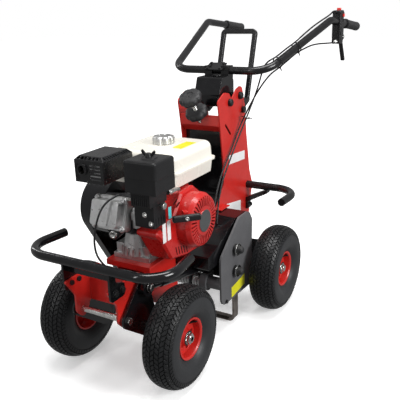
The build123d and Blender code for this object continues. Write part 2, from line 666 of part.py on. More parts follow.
def clamp_caps():
    """The clamp halves over the handlebar and the small tilted plate that straps them together."""
    caps = [block(x, x + SEAT_W, BAR_Y - 17, BAR_Y + 17, BAR_Z + 0.3, BAR_Z + 15) for x in SEATS]
    tilt = 24
    strap = Pos(0, BAR_Y, BAR_Z) * Rot(X=tilt) * Pos(-4, -4, BAR_R + 3) * Box(62, 44, 3)
    screws = [Pos(x, BAR_Y, BAR_Z) * Rot(X=tilt) * Pos(0, y, BAR_R + 6) * Cylinder(5, 5)
              for x in (-26, 18) for y in (-19, 11)]
    return caps[0] + caps[1] + strap + screws - drum(BAR_Y, BAR_Z, BAR_R + FIT, -100, 100)


def lift_lever():
    """The square-tube loop that pivots on a pin between the mast cheeks."""
    side, x = 15, 58.5
    top_y, top_z = 719, 880
    knee_y, knee_z = 650, 664
    corners = [(-x, knee_y, knee_z), (-x, top_y, top_z), (x, top_y, top_z), (x, knee_y, knee_z)]
    path = FilletPolyline(*corners, radius=[9, 9])
    section = Plane(origin=path @ 0, x_dir=(1, 0, 0), z_dir=path % 0) * RectangleRounded(side, side, 2.5)
    loop = sweep(section, path=path)
    foot = plate(hull((LIFT_Y, LIFT_Z, 13), (knee_y, knee_z, 9)), x - side / 2 + 0.5, x + side / 2 - 0.5)
    foot -= drum(LIFT_Y, LIFT_Z, 6 + FIT, 0, 100)
    return loop + foot + mirrored(foot)


def lift_pins():
    """The loop's two pivot pins, each with its head outside the cheek."""
    inner, face = 49, MAST_X + SHEET + 0.05
    pins = []
    for side in (1, -1):
        shank = drum(LIFT_Y, LIFT_Z, 6 - 0.02, side * inner, side * (face + 8))
        pins.append(shank + drum(LIFT_Y, LIFT_Z, 11, side * face, side * (face + 8)))
    return pins


def bolts():
    """The dome nuts on the mast's cheeks and the bolts of the nose, the rear frame and the guard."""
    outer = MAST_X + SHEET
    solids = []
    for side in (1, -1):
        for y, z in CLAMP_BOLTS:
            dome = drum(y, z, 12, side * (outer + 0.05), side * (outer + 11))
            solids.append(fillet(dome.edges().sort_by(Axis.X)[-1 if side > 0 else 0], 6))
        for y in (-140, -113):
            solids.append(hexagon(y, 308, 8, side * (CHASSIS_X + 6.1), side * (CHASSIS_X + 13)))
            solids.append(hexagon(y, 308, 7, side * (CHASSIS_X - 12), side * (CHASSIS_X - 6.1)))
        for y in (612, 628):
            solids.append(hexagon(y, 302, 7, side * (outer + 8.15), side * (outer + 14)))
    for y, z in ((110, 440), (200, 440)):
        solids.append(drum(y, z, 6, -114.9, -60.1))
    return solids


save("mast_cheeks", mast_plate(), mirrored(mast_plate()))
save("mast_cross_plate", mast_cross_plate())
save("mast_panel", mast_panel())
save("depth_screw", screw_bar(7) - extrude(along_screw(47) * Circle(10), 40))
save("depth_knob", hand_knob(59) - extrude(along_screw(40) * Circle(7.02), 7))
save("lock_knob", hand_knob(0) - extrude(along_screw(-30) * Circle(7 + FIT), 60))
save("clamp_base", clamp_base())
save("clamp_caps", clamp_caps())
save("lift_lever", lift_lever())
save("fasteners", *lift_pins(), *bolts())


# ---------------------------------------------------------------- handlebar and controls
ELBOW = (245, 943, 905)
BAR_POINTS = [(-BAR_X, GRIP_END_Y, GRIP_END_Z), (-ELBOW[0], ELBOW[1], ELBOW[2]), (-168, BAR_Y, BAR_Z),
              (168, BAR_Y, BAR_Z), ELBOW, (BAR_X, GRIP_END_Y, GRIP_END_Z)]


def handlebar():
    return tube(BAR_POINTS, [60, 70, 70, 60], BAR_R)


def grip(side):
    """A rubber grip over the bar's last stretch."""
    end = Vector(side * BAR_X, GRIP_END_Y, GRIP_END_Z)
    elbow = Vector(side * ELBOW[0], ELBOW[1], ELBOW[2])
    back = (elbow - end).normalized()
    start = Plane(origin=end + back * 150, z_dir=-back)
    body = extrude(start * Circle(16), 150)
    body = fillet(body.edges().sort_by(Axis.Y)[-1], 5)
    return body - extrude(start * Circle(BAR_R + 0.02), 160)


def control_box():
    """The switch box that stands across the left arm of the handlebar."""
    body = soft_block(231, 263, BOX_Y - 20, BOX_Y + 20, BOX_Z - 58, BOX_Z + 58, 5)
    ear = plate(hull((LEVER_Y, LEVER_Z, 9), (BOX_Y + 14, LEVER_Z, 12)), 233, 261)
    body = body + ear
    body -= drum(LEVER_Y, LEVER_Z, 14, 240, 254)
    body -= drum(LEVER_Y, LEVER_Z, 3 + FIT, 200, 280)
    elbow = Vector(*ELBOW)
    run = Vector(BAR_X, GRIP_END_Y, GRIP_END_Z) - elbow
    body -= extrude(Plane(origin=elbow, z_dir=run) * Circle(BAR_R + 0.02), 200)
    body -= block(240, 254, BOX_Y, BOX_Y + 14, BOX_Z + 50, BOX_Z + 60)
    return body - block(255.5, 266, BOX_Y + 3, BOX_Y + 15, BOX_Z + 34, BOX_Z + 46)


def top_button():
    return soft_block(240.4, 253.6, BOX_Y + 0.4, BOX_Y + 13.6, BOX_Z + 54, BOX_Z + 66, 2)


def side_button():
    return soft_block(259, 267, BOX_Y + 3.4, BOX_Y + 14.6, BOX_Z + 34.4, BOX_Z + 45.6, 1.5)


def drive_lever():
    """The dead-man lever that hangs from the box and squeezes up to the grip."""
    hub = drum(LEVER_Y, LEVER_Z, 8, 241, 253)
    blade_shape = hull((LEVER_Y + 14, LEVER_Z - 20, 4.5), (LEVER_Y + 50, LEVER_Z - 84, 5.5))
    neck = hull((LEVER_Y, LEVER_Z, 6), (LEVER_Y + 14, LEVER_Z - 20, 4.5))
    pin = drum(LEVER_Y, LEVER_Z, 3, 234, 260)
    return hub + plate(blade_shape, 240.5, 253.5) + plate(neck, 242, 252) + pin


LOWER_CABLE = [(247, 1000, 828), (247, 985, 827), (246, 955, 827), (241, 905, 829), (232, 855, 831),
               (222, 808, 829), (212, 765, 820), (203, 729, 812), (192, 677, 791), (181, 626, 771),
               (167, 598, 757), (147, 588, 730), (124, 586, 696), (104, 578, 657), (86, 564, 613),
               (79, 528, 568), (80, 480, 520), (80, 432, 479), (84, 388, 436), (92, 350, 396),
               (98, 325, 362), (99, 316, 331)]
UPPER_CABLE = [(247, 1000, 930), (247, 986, 934), (245, 966, 934), (243, 940, 923), (232, 885, 907),
               (221, 831, 890), (211, 776, 869), (200, 724, 846), (189, 667, 828), (178, 613, 807),
               (162, 591, 797), (146, 595, 781), (134, 601, 755), (124, 600, 718), (112, 590, 676),
               (100, 571, 629), (92, 540, 582), (90, 500, 543), (90, 455, 499), (92, 408, 457),
               (98, 368, 412), (106, 340, 372), (110, 326, 336)]
THROTTLE_CABLE = [(30, -34, 526), (18, -54, 520), (6, -80, 502), (0, -98, 466), (-6, -106, 422),
                  (-6, -102, 380), (2, -88, 350), (2, -64, 326), (-6, -38, 313), (-12, -26, 302)]

save("handlebar", handlebar())
save("grips", grip(1), grip(-1))
save("control_box", control_box())
save("top_button", top_button())
save("side_button", side_button())
save("drive_lever", drive_lever())
save("control_cables", cable("lower", LOWER_CABLE, CABLE_R), cable("upper", UPPER_CABLE, CABLE_R))
save("throttle_cable", cable("throttle", THROTTLE_CABLE, CABLE_R))
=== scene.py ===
"""Looks of a walk-behind turf cutter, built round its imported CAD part."""

import math

import bmesh
import bpy
from mathutils import Matrix, Vector


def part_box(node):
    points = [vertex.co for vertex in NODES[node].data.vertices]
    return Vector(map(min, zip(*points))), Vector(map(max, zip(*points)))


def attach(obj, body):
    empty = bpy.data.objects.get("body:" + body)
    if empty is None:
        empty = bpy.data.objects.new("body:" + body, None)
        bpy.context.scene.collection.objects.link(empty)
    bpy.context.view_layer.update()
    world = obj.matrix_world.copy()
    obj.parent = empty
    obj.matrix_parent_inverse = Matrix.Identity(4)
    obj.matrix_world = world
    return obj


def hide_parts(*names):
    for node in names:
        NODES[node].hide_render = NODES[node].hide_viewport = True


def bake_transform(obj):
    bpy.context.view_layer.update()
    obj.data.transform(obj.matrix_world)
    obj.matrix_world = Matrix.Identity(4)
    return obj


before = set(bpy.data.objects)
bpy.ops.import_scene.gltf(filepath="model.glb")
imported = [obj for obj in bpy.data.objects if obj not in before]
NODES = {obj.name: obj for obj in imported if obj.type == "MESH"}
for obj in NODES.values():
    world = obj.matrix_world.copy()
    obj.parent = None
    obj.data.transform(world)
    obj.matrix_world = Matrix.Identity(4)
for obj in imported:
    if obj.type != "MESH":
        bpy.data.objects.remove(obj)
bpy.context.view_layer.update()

X, Y, Z = Vector((1, 0, 0)), Vector((0, 1, 0)), Vector((0, 0, 1))


def middle(node):
    """The middle of a CAD node's box."""
    low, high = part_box(node)
    return (low + high) / 2


AXLE_Y = middle("front_axle").y


def at(x, y, z):
    """A point in millimetres from the front axle's place on the ground, in the row frame."""
    return Vector((x / 1000, AXLE_Y + y / 1000, z / 1000))


# ------------------------------------------------------------------ materials
class Nodes:
    """A short way to add nodes and links to one material."""

    def __init__(self, material):
        material.use_nodes = True
        self.tree = material.node_tree
        self.shader = self.tree.nodes["Principled BSDF"]

    def add(self, kind, **settings):
        node = self.tree.nodes.new(kind)
        for key, value in settings.items():
            setattr(node, key, value)
        return node

    def link(self, source, target):
        self.tree.links.new(source, target)

    def noise(self, scale, detail=3.0, roughness=0.55, stretch=None):
        place = self.add("ShaderNodeTexCoord").outputs["Object"]
        if stretch:
            mapping = self.add("ShaderNodeMapping")
            mapping.inputs["Scale"].default_value = stretch
            self.link(place, mapping.inputs["Vector"])
            place = mapping.outputs["Vector"]
        node = self.add("ShaderNodeTexNoise")
        node.inputs["Scale"].default_value = scale
        node.inputs["Detail"].default_value = detail
        node.inputs["Roughness"].default_value = roughness
        self.link(place, node.inputs["Vector"])
        return node.outputs["Fac"]

    def remap(self, value, low, high, to_low, to_high):
        node = self.add("ShaderNodeMapRange")
        for key, number in zip(("From Min", "From Max", "To Min", "To Max"), (low, high, to_low, to_high)):
            node.inputs[key].default_value = number
        self.link(value, node.inputs["Value"])
        return node.outputs["Result"]

    def mix(self, factor, first, second):
        node = self.add("ShaderNodeMix", data_type="RGBA")
        self.link(factor, node.inputs["Factor"])
        for socket, colour in ((node.inputs[6], first), (node.inputs[7], second)):
            if isinstance(colour, tuple):
                socket.default_value = (*colour, 1)
            else:
                self.link(colour, socket)
        return node.outputs[2]

    def calculate(self, operation, first, second):
        node = self.add("ShaderNodeMath", operation=operation)
        for socket, value in zip(node.inputs, (first, second)):
            if isinstance(value, (int, float)):
                socket.default_value = value
            else:
                self.link(value, socket)
        return node.outputs[0]


def scaled(colour, factor):
    """A colour made lighter or darker, with no channel above 1."""
    return tuple(min(1.0, c * factor) for c in colour)


def finish(name, colour, rough, metal=0.0, coat=0.0, vary=0.1, patch=25.0, rough_vary=0.06, grain=900.0,
           depth=0.05, edge=0.0012, wear=None, wear_amount=0.35, dust=0.0, streak=None, specular=0.5):
    """A procedural finish: patchy tone and gloss, surface grain, softened edges, edge wear and dust."""
    material = bpy.data.materials.new(name)
    n = Nodes(material)
    shader = n.shader
    shader.inputs["Metallic"].default_value = metal
    shader.inputs["Specular IOR Level"].default_value = specular
    shader.inputs["Coat Weight"].default_value = coat
    shader.inputs["Coat Roughness"].default_value = 0.08
    patches = n.noise(patch, stretch=streak)
    tone = n.mix(n.remap(patches, 0.3, 0.7, 0, 1), scaled(colour, 1 - vary), scaled(colour, 1 + vary))
    bevel = n.add("ShaderNodeBevel", samples=4)
    bevel.inputs["Radius"].default_value = edge
    if wear:
        normal = n.add("ShaderNodeNewGeometry").outputs["Normal"]
        dot = n.add("ShaderNodeVectorMath", operation="DOT_PRODUCT")
        n.link(bevel.outputs["Normal"], dot.inputs[0])
        n.link(normal, dot.inputs[1])
        worn = n.remap(dot.outputs["Value"], 0.995, 0.9, 0, 1)
        spots = n.remap(n.noise(140, detail=5), 0.45, 0.75, 0, wear_amount)
        tone = n.mix(n.calculate("MULTIPLY", worn, spots), tone, wear)
    if dust:
        normal = n.add("ShaderNodeNewGeometry").outputs["Normal"]
        split = n.add("ShaderNodeSeparateXYZ")
        n.link(normal, split.inputs[0])
        up = n.remap(split.outputs["Z"], 0.4, 1.0, 0, dust)
        film = n.remap(n.noise(60, detail=6, roughness=0.7), 0.35, 0.75, 0, 1)
        tone = n.mix(n.calculate("MULTIPLY", up, film), tone, (0.30, 0.27, 0.23))
    n.link(tone, shader.inputs["Base Color"])
    gloss = n.noise(patch * 2.3, detail=4, stretch=streak)
    roughness = n.remap(gloss, 0.3, 0.7, max(0.02, rough - rough_vary), rough + rough_vary)
    n.link(roughness, shader.inputs["Roughness"])
    bump = n.add("ShaderNodeBump")
    bump.inputs["Strength"].default_value = depth
    bump.inputs["Distance"].default_value = 0.001
    n.link(n.noise(grain, detail=2, stretch=streak), bump.inputs["Height"])
    n.link(bevel.outputs["Normal"], bump.inputs["Normal"])
    n.link(bump.outputs["Normal"], shader.inputs["Normal"])
    return material


RED = finish("red_powder_coat", (0.56, 0.017, 0.012), 0.36, coat=0.2, vary=0.05, grain=700, depth=0.10,
             wear=(0.25, 0.01, 0.01), dust=0.03)
SHROUD = finish("red_enamel", (0.50, 0.012, 0.010), 0.30, coat=0.3, vary=0.06, grain=500, depth=0.08,
                wear=(0.75, 0.10, 0.08), wear_amount=0.5)
BLACK = finish("black_gloss_enamel", (0.005, 0.005, 0.006), 0.15, coat=0.25, vary=0.2, grain=350, depth=0.05,
               wear=(0.03, 0.03, 0.03), dust=0.01, specular=0.4)
SATIN = finish("black_satin_enamel", (0.009, 0.009, 0.010), 0.27, coat=0.1, vary=0.2, grain=600, depth=0.08,
               wear=(0.03, 0.03, 0.03), dust=0.01, specular=0.4)
GREY = finish("grey_powder_coat", (0.105, 0.105, 0.110), 0.46, vary=0.06, grain=900, depth=0.18,
              wear=(0.30, 0.30, 0.30), dust=0.03, specular=0.35)
ZINC = finish("zinc_plate", (0.72, 0.72, 0.70), 0.24, metal=1.0, vary=0.14, patch=60, rough_vary=0.10,
              grain=1200, depth=0.06)
BRUSHED = finish("brushed_steel", (0.66, 0.66, 0.65), 0.38, metal=1.0, vary=0.12, patch=90, rough_vary=0.12,
                 grain=900, depth=0.14, streak=(1, 1, 6))
STEEL = finish("scraped_steel", (0.24, 0.21, 0.19), 0.40, metal=0.9, vary=0.35, patch=55, rough_vary=0.15,
               grain=500, depth=0.3, wear=(0.75, 0.73, 0.70))
FIN = finish("heat_dark_iron", (0.075, 0.075, 0.078), 0.50, metal=0.6, vary=0.25, grain=500, depth=0.4)
CAST = finish("cast_aluminium", (0.56, 0.56, 0.56), 0.38, metal=0.92, vary=0.14, patch=40, rough_vary=0.12,
              grain=420, depth=0.5, edge=0.0018, wear=(0.9, 0.9, 0.9), wear_amount=0.6)
TANK = finish("cream_enamel", (0.86, 0.83, 0.75), 0.25, coat=0.35, vary=0.02, patch=8, grain=300, depth=0.03)
PLASTIC = finish("black_plastic", (0.010, 0.010, 0.011), 0.34, vary=0.15, grain=1500, depth=0.22, dust=0.02,
                 specular=0.35)
KNOB = finish("knob_plastic", (0.020, 0.020, 0.022), 0.44, vary=0.15, grain=1400, depth=0.35, dust=0.04,
              specular=0.35)
RUBBER = finish("grip_rubber", (0.022, 0.022, 0.023), 0.55, vary=0.15, grain=1300, depth=0.3, dust=0.05,
                specular=0.35)
BELT = finish("belt_rubber", (0.018, 0.017, 0.017), 0.6, vary=0.2, grain=900, depth=0.4, specular=0.3)
WALL = finish("tyre_sidewall", (0.026, 0.027, 0.029), 0.44, vary=0.12, patch=14, grain=900, depth=0.12,
              dust=0.03, specular=0.35)
TREAD = finish("tyre_tread", (0.011, 0.0115, 0.0125), 0.36, vary=0.2, patch=60, rough_vary=0.12, grain=700,
               depth=0.35, dust=0.03, specular=0.35)
BUTTON = finish("red_button", (0.72, 0.030, 0.020), 0.30, coat=0.2, vary=0.05, grain=900, depth=0.08)
YELLOW = finish("yellow_sticker", (0.80, 0.76, 0.03), 0.35, coat=0.4, vary=0.04, grain=300, depth=0.03,
                edge=0.0003)
WHITE = finish("white_sticker", (0.86, 0.86, 0.86), 0.35, coat=0.4, vary=0.03, grain=300, depth=0.03,
               edge=0.0003)
CYAN = finish("cyan_sticker", (0.10, 0.62, 0.66), 0.35, coat=0.4, vary=0.04, grain=300, depth=0.03,
              edge=0.0003)
DISC = finish("hub_disc", (0.055, 0.060, 0.062), 0.32, coat=0.3, vary=0.08, grain=900, depth=0.08)
# Near-black material for painted shade: the dark inside openings and behind slots
PAINTED_SHADE = finish("shaded_opening", (0.004, 0.004, 0.004), 0.7, vary=0.2, grain=900, depth=0.1, specular=0.1)


def floor_with_painted_glow():
    """A pale floor with a painted glow: its emission is lower near the machine, so soft shadows show there,
    and rises away from it.
    """
    material = finish("pale_floor", (0.93, 0.93, 0.93), 0.75, vary=0.008, patch=1.5, grain=200, depth=0.02,
                      specular=0.0)
    n = Nodes(material)
    reach = n.add("ShaderNodeVectorMath", operation="LENGTH")
    n.link(n.add("ShaderNodeTexCoord").outputs["Object"], reach.inputs[0])
    # Painted glow: emission strength rises from 0.40 near the machine to 1.0 beyond 2.6 m
    n.link(n.remap(reach.outputs["Value"], 1.0, 2.6, 0.40, 1.0), n.shader.inputs["Emission Strength"])
    n.shader.inputs["Emission Color"].default_value = (1, 1, 1, 1)
    return material


FLOOR = floor_with_painted_glow()

LOOK = {
    "front_rim_left": RED, "front_rim_right": RED, "rear_rim_left": RED, "rear_rim_right": RED,
    "front_axle": ZINC, "rear_axle": ZINC, "chassis_frame": RED, "engine_plate": RED, "front_arms": BLACK,
    "pivot_bar": ZINC, "depth_link": BLACK, "front_bumper": BLACK, "rear_bumper": SATIN,
    "drive_housing": BLACK, "rear_frame": BLACK, "blade_plate_left": GREY, "blade_plate_right": GREY,
    "blade": STEEL, "buffer_bushes": RUBBER, "buffer_washers": ZINC, "eccentric_shaft": ZINC,
    "eccentric_sleeve": CAST, "drive_belt": BELT, "crankcase": CAST, "cylinder": FIN,
    "cylinder_head": CAST, "crankshaft": ZINC, "fan_shroud": SHROUD, "recoil_cover": SHROUD,
    "recoil_handle": PLASTIC, "fuel_tank": TANK, "fuel_cap": BRUSHED, "airbox": PLASTIC,
    "airbox_cover": PLASTIC, "carburettor": CAST, "muffler": CAST, "muffler_guard": SATIN,
    "belt_guard": BLACK, "mast_cheeks": RED, "mast_cross_plate": RED, "mast_panel": BLACK,
    "depth_screw": ZINC, "depth_knob": KNOB, "lock_knob": KNOB, "clamp_base": BLACK,
    "clamp_caps": SATIN, "lift_lever": SATIN, "fasteners": PLASTIC, "handlebar": SATIN,
    "grips": RUBBER, "control_box": PLASTIC, "top_button": BUTTON, "side_button": BUTTON,
    "drive_lever": PLASTIC, "control_cables": PLASTIC, "throttle_cable": PLASTIC,
    "front_tyre_left": WALL, "front_tyre_right": WALL, "rear_tyre_left": WALL, "rear_tyre_right": WALL,
}
for node_name, node_object in NODES.items():
    node_object.data.materials.clear()
    node_object.data.materials.append(LOOK[node_name])


# ------------------------------------------------------------------ shapes
def basis(axis):
    """Two directions square to an axis and to each other."""
    helper = Z if abs(axis.normalized().z) < 0.9 else Y
    u = axis.cross(helper).normalized()
    return u, axis.normalized().cross(u)


def lathe(bm, origin, axis, profile, segments=40, lobes=0, cut=0.0, turn=0.0, slot=0):
    """Turns (along, radius) millimetres about an axis; lobes scallop the rim by cut millimetres."""
    axis = axis.normalized()
    u, v = basis(axis)
    widest = max(r for _, r in profile)
    rings = []
    for along, r in profile:
        centre = origin + axis * (along / 1000)
        if r <= 1e-6:
            rings.append([bm.verts.new(centre)])
            continue
        ring = []
        for i in range(segments):
            angle = 2 * math.pi * i / segments + turn
            reach = r
            if lobes:
                scallop = (0.5 - 0.5 * math.cos(lobes * angle)) ** 2.2
                reach = r - cut * scallop * max(0.0, (r / widest - 0.5) * 2)
            ring.append(bm.verts.new(centre + (u * math.cos(angle) + v * math.sin(angle)) * (reach / 1000)))
        rings.append(ring)
    for low, high in zip(rings, rings[1:]):
        for i in range(segments):
            j = (i + 1) % segments
            if len(low) == 1 and len(high) == 1:
                continue
            if len(low) == 1:
                corners = (low[0], high[j], high[i])
            elif len(high) == 1:
                corners = (low[i], low[j], high[0])
            else:
                corners = (low[i], low[j], high[j], high[i])
            bm.faces.new(corners).material_index = slot
    return rings


def hex_head(bm, origin, axis, across, height, washer=1.35):
    """A hexagon nut or bolt head with a chamfered top on a round washer."""
    r = across / 2 / math.cos(math.pi / 6)
    lathe(bm, origin, axis, [(0, 0), (0, r * washer), (1.4, r * washer), (1.6, r)], 28)
    lathe(bm, origin, axis, [(1.4, 0), (1.4, r), (height * 0.85, r), (height, r * 0.86), (height, 0)], 6)


def dome_head(bm, origin, axis, r, height):
    """A flanged screw head with a rounded top and a driver recess."""
    flange = [(0, 0), (0, r * 1.3), (1.0, r * 1.3), (1.3, r)]
    dome = [(height * 0.6, r), (height * 0.9, r * 0.8), (height, r * 0.45)]
    recess = [(height * 0.7, r * 0.4), (height * 0.7, 0)]
    lathe(bm, origin, axis, flange + dome + recess, 24)


def prism(bm, origin, u, v, outline, thickness, slot=0):
    """An outline of (a, b) millimetres along u and v, raised by a thickness along their normal."""
    u, v = u.normalized(), v.normalized()
    up = u.cross(v).normalized() * (thickness / 1000)
    low = [bm.verts.new(origin + u * (a / 1000) + v * (b / 1000)) for a, b in outline]
    high = [bm.verts.new(vert.co + up) for vert in low]
    count = len(low)
    bm.faces.new(list(reversed(low))).material_index = slot
    bm.faces.new(high).material_index = slot
    for i in range(count):
        j = (i + 1) % count
        bm.faces.new((low[i], low[j], high[j], high[i])).material_index = slot


def round_rect(width, height, r, steps=5):
    """A rounded rectangle's outline centred on its origin, in millimetres."""
    points = []
    for across, up, start in ((1, 1, 0), (-1, 1, 90), (-1, -1, 180), (1, -1, 270)):
        centre_a, centre_b = across * (width / 2 - r), up * (height / 2 - r)
        for i in range(steps + 1):
            angle = math.radians(start + 90 * i / steps)
            points.append((centre_a + r * math.cos(angle), centre_b + r * math.sin(angle)))
    return points


def pipe(bm, points, radius, segments=14, closed=False, slot=0):
    """A round tube through row-frame points; radius in millimetres, or one for each point."""
    count = len(points)
    radii = [radius] * count if isinstance(radius, (int, float)) else radius
    tangents = []
    for i in range(count):
        before = points[i - 1] if (i or closed) else points[i]
        after = points[(i + 1) % count] if (i < count - 1 or closed) else points[i]
        tangents.append((after - before).normalized())
    u, _ = basis(tangents[0])
    rings = []
    turns = [2 * math.pi * k / segments for k in range(segments)]
    for i, point in enumerate(points):
        u = (u - tangents[i] * u.dot(tangents[i])).normalized()
        v = tangents[i].cross(u)
        reach = radii[i] / 1000
        rings.append([bm.verts.new(point + (u * math.cos(a) + v * math.sin(a)) * reach) for a in turns])
    for i in range(count if closed else count - 1):
        low, high = rings[i], rings[(i + 1) % count]
        for k in range(segments):
            m = (k + 1) % segments
            bm.faces.new((low[k], low[m], high[m], high[k])).material_index = slot
    if not closed:
        bm.faces.new(list(reversed(rings[0]))).material_index = slot
        bm.faces.new(rings[-1]).material_index = slot


def smooth_route(points, resolution=8):
    """Points along the NURBS line whose control points are given in CAD millimetres."""
    curve = bpy.data.curves.new("route", "CURVE")
    curve.dimensions = "3D"
    curve.resolution_u = resolution
    spline = curve.splines.new("NURBS")
    spline.points.add(len(points) - 1)
    for control, point in zip(spline.points, points):
        control.co = (*at(*point), 1)
    spline.order_u = 3
    spline.use_endpoint_u = True
    holder = bpy.data.objects.new("route", curve)
    mesh = bpy.data.meshes.new_from_object(holder)
    line = [vert.co.copy() for vert in mesh.vertices]
    bpy.data.objects.remove(holder)
    bpy.data.curves.remove(curve)
    bpy.data.meshes.remove(mesh)
    return line


def add(name, bm, materials, body, round_mm=0.0, angle=32, replaces=(), bend=None):
    """Makes a piece from a bmesh and gives it its finish; it rides on its body, or is baked in place when a
    bend is given.
    """
    bmesh.ops.recalc_face_normals(bm, faces=bm.faces)
    mesh = bpy.data.meshes.new(name)
    bm.to_mesh(mesh)
    bm.free()
    mesh.shade_smooth()
    mesh.set_sharp_from_angle(angle=math.radians(angle))
    for material in materials if isinstance(materials, (list, tuple)) else [materials]:
        mesh.materials.append(material)
    piece = bpy.data.objects.new(name, mesh)
    bpy.context.scene.collection.objects.link(piece)
    if round_mm:
        bevel = piece.modifiers.new("edges", "BEVEL")
        bevel.width = round_mm / 1000
        bevel.segments = 3
        bevel.limit_method = "ANGLE"
        bevel.angle_limit = math.radians(40)
        bevel.harden_normals = True
    if bend:
        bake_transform(piece)
    else:
        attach(piece, body)
    if replaces:
        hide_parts(*replaces)
    return piece


# ------------------------------------------------------------------ wheels
CARCASS = [(27.9, 53.6), (28.6, 57.5), (31.5, 61.5), (37, 68), (42, 77), (44.6, 88), (44.9, 97),
           (44.0, 106), (41.5, 115), (37, 123), (30, 129.2), (20, 133.8), (10, 136.0), (0, 136.4)]
TREAD_FROM = 0.122
BLOCKS_ROUND = 64
BLOCK_LEAN = 0.55


def spline_points(controls, steps=4):
    """A smooth line through (a, b) points."""
    points = []
    for i in range(len(controls) - 1):
        p0, p1 = controls[max(i - 1, 0)], controls[i]
        p2, p3 = controls[i + 1], controls[min(i + 2, len(controls) - 1)]
        for k in range(steps):
            t = k / steps
            points.append(tuple(0.5 * (2 * b + (c - a) * t + (2 * a - 5 * b + 4 * c - d) * t * t
                                       + (3 * b - a - 3 * c + d) * t ** 3)
                                for a, b, c, d in zip(p0, p1, p2, p3)))
    points.append(controls[-1])
    return points


def tyre_mesh():
    """A pneumatic tyre with a smooth carcass and a herringbone of raised tread blocks."""
    half = spline_points(CARCASS)
    ribbed = [(x + (0.55 if 84 < r < 85.6 or 108 < r < 109.6 else 0), r) for x, r in half]
    profile = [(-x, r) for x, r in ribbed] + [(x, r) for x, r in reversed(ribbed[:-1])]
    profile += [(20, 58), (36, 84), (34, 118), (0, 128), (-34, 118), (-36, 84), (-20, 58), profile[0]]
    bm = bmesh.new()
    lathe(bm, Vector(), X, profile, 96)
    crown = [(x, r) for x, r in reversed(half)]
    lengths = [0.0]
    for (x0, r0), (x1, r1) in zip(crown, crown[1:]):
        lengths.append(lengths[-1] + math.hypot(x1 - x0, r1 - r0))

    def surface(s, theta, lift):
        """The carcass point a distance s from the crown's middle, lifted outwards."""
        reach = abs(s)
        i = max(k for k in range(len(lengths)) if lengths[k] <= reach or k == 0)
        i = min(i, len(lengths) - 2)
        t = (reach - lengths[i]) / (lengths[i + 1] - lengths[i])
        x = crown[i][0] + (crown[i + 1][0] - crown[i][0]) * t
        r = crown[i][1] + (crown[i + 1][1] - crown[i][1]) * t
        dx, dr = crown[i + 1][0] - crown[i][0], crown[i + 1][1] - crown[i][1]
        size = math.hypot(dx, dr)
        nx, nr = -dr / size, dx / size
        x, r = x + nx * lift, r + nr * lift
        x = math.copysign(x, s) if s else x
        return Vector((x, r * math.cos(theta), r * math.sin(theta))) / 1000

    pitch = 2 * math.pi / BLOCKS_ROUND
    rows = [(-5.2, 5.2, 3.5), (6.4, 16.8, 3.5), (18.0, 28.4, 3.4), (29.6, 40.0, 3.1), (41.2, 52.6, 2.5)]
    rows += [(-b, -a, h) for a, b, h in rows[1:]]
    for number, (start, end, height) in enumerate(sorted(rows)):
        lean = BLOCK_LEAN if number % 2 else -BLOCK_LEAN
        for i in range(BLOCKS_ROUND):
            middle_angle = (i + (0.5 if number % 2 else 0.0)) * pitch
            top, base = [], []
            for a in range(3):
                line = []
                for b in range(3):
                    s = start + (end - start) * (0.06 + 0.88 * b / 2)
                    shear = lean * (b / 2 - 0.5) * pitch
                    theta = middle_angle + shear + pitch * (a / 2 - 0.5) * 0.76
                    fade = 0.75 if abs(s) > 49 else 1.0
                    line.append(bm.verts.new(surface(s, theta, height * fade)))
                top.append(line)
            for a, b in ((0, 0), (0, 1), (0, 2), (1, 2), (2, 2), (2, 1), (2, 0), (1, 0)):
                s = start + (end - start) * b / 2
                theta = middle_angle + lean * (b / 2 - 0.5) * pitch + pitch * (a / 2 - 0.5) * 0.88
                base.append(bm.verts.new(surface(s, theta, -0.8)))
            for a in range(2):
                for b in range(2):
                    corners = (top[a][b], top[a][b + 1], top[a + 1][b + 1], top[a + 1][b])
                    bm.faces.new(corners).material_index = 1
            rim = [top[0][0], top[0][1], top[0][2], top[1][2], top[2][2], top[2][1], top[2][0], top[1][0]]
            for k in range(8):
                m = (k + 1) % 8
                bm.faces.new((rim[k], base[k], base[m], rim[m])).material_index = 1
    bmesh.ops.recalc_face_normals(bm, faces=bm.faces)
    mesh = bpy.data.meshes.new("tyre")
    bm.to_mesh(mesh)
    bm.free()
    for polygon in mesh.polygons:
        centre = polygon.center
        if math.hypot(centre.y, centre.z) > TREAD_FROM:
            polygon.material_index = 1
    mesh.shade_smooth()
    mesh.set_sharp_from_angle(angle=math.radians(28))
    mesh.materials.append(WALL)
    mesh.materials.append(TREAD)
    return mesh


TYRE = tyre_mesh()
HUB_SEAL = [(0, 0), (0, 20), (1.2, 20), (1.6, 18.5), (1.6, 0)]
HUB_RING = [(0, 11), (0, 16), (1.4, 16), (1.6, 15), (0.6, 14), (0.6, 11)]
VALVE_STEM = [(-6, 0), (-6, 4.2), (4, 3.6), (10, 2.8), (18, 2.8), (18.5, 2.2), (18.5, 3.2), (24, 3.0),
              (25, 0)]


def place_tyre(node_name, body_name, turn):
    """One treaded tyre in its CAD node's place, turned about its axle."""
    tyre = bpy.data.objects.new(node_name + "_treaded", TYRE)
    bpy.context.scene.collection.objects.link(tyre)
    tyre.location = middle(node_name)
    tyre.rotation_euler = (turn, 0, 0)
    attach(tyre, body_name)
    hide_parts(node_name)


